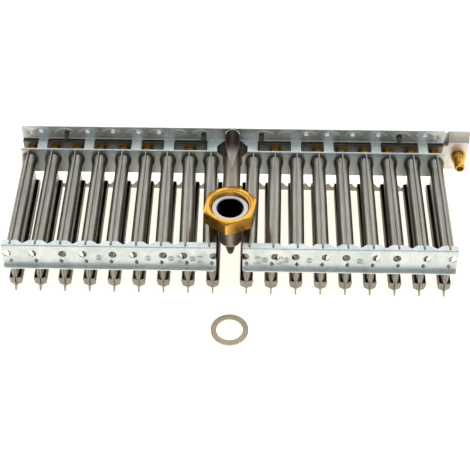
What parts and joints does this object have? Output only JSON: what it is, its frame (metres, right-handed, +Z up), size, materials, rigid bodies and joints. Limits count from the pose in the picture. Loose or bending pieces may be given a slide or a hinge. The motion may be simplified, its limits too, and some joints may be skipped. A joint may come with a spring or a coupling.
{
  "type": "gas burner assembly",
  "caption": "Atmospheric gas burner lying upside down: parallel stamped bars between zinc brackets, a rear gas manifold with brass jets, and a central inlet with a union nut and loose gasket.",
  "frame": {"origin": "the point on the ground under the middle of the whole assembly's footprint, gasket included", "axes": "+X to the right along the row of bars seen from the front, +Y from the front brackets to the rear manifold, +Z up as it lies, with the mixing tubes and the union nut facing up"},
  "size_m": [0.3828, 0.1988, 0.0636],
  "materials": {
    "burner_steel": "stamped heat-resistant steel, satin",
    "zinc_steel": "bright zinc-plated sheet with a fine bluish mottle",
    "manifold_steel": "warm grey aluminised sheet",
    "pipe_steel": "brown-grey drawn tube, satin",
    "collar_steel": "machined light steel",
    "brass": "machined brass",
    "fastener_steel": "dark oiled steel",
    "gasket_fibre": "pressed beige fibre sheet, matt"
  },
  "bodies": {
    "burner": {"burner_bar_01": "burner_steel", "burner_bar_02": "burner_steel", "burner_bar_03": "burner_steel", "burner_bar_04": "burner_steel", "burner_bar_05": "burner_steel", "burner_bar_06": "burner_steel", "burner_bar_07": "burner_steel", "burner_bar_08": "burner_steel", "burner_bar_09": "burner_steel", "burner_bar_10": "burner_steel", "burner_bar_11": "burner_steel", "burner_bar_12": "burner_steel", "burner_bar_13": "burner_steel", "burner_bar_14": "burner_steel", "burner_bar_15": "burner_steel", "burner_bar_16": "burner_steel", "burner_bar_17": "burner_steel", "burner_bar_18": "burner_steel", "injector_01": "brass", "injector_02": "brass", "injector_03": "brass", "injector_04": "brass", "injector_05": "brass", "injector_06": "brass", "injector_07": "brass", "injector_08": "brass", "injector_09": "brass", "injector_10": "brass", "injector_11": "brass", "injector_12": "brass", "injector_13": "brass", "injector_14": "brass", "injector_15": "brass", "injector_16": "brass", "injector_17": "brass", "injector_18": "brass", "rail_screw_1": "fastener_steel", "rail_screw_2": "fastener_steel", "rail_screw_3": "fastener_steel", "rail_screw_4": "fastener_steel", "front_bracket_left": "zinc_steel", "front_bracket_right": "zinc_steel", "rear_bracket": "zinc_steel", "bell_plate": "zinc_steel", "manifold_front_shell": "manifold_steel", "manifold_rear_shell": "manifold_steel", "gas_pipe": "pipe_steel", "pipe_saddle": "pipe_steel", "inlet_elbow": "pipe_steel", "inlet_collar": "collar_steel", "test_nipple": "brass", "rear_comb": "burner_steel"},
    "union_nut": {"union_nut": "brass"},
    "test_screw": {"test_screw": "fastener_steel"},
    "gasket": {"gasket": "gasket_fibre"}
  },
  "joints": [
    {"name": "union_nut_turn", "type": "hinge", "parent": "burner", "child": "union_nut", "pos_m": [-0.01059, -0.0074, 0.057], "axis": [0, 0, 1], "continuous": true},
    {"name": "test_screw_turn", "type": "hinge", "parent": "burner", "child": "test_screw", "pos_m": [0.18391, 0.0706, 0.034], "axis": [0, -1, 0], "range_deg": [0, 720]},
    {"name": "gasket_lift", "type": "slide", "parent": "burner", "child": "gasket", "axis": [0, 0, 1], "range_m": [0, 0.09]}
  ]
}
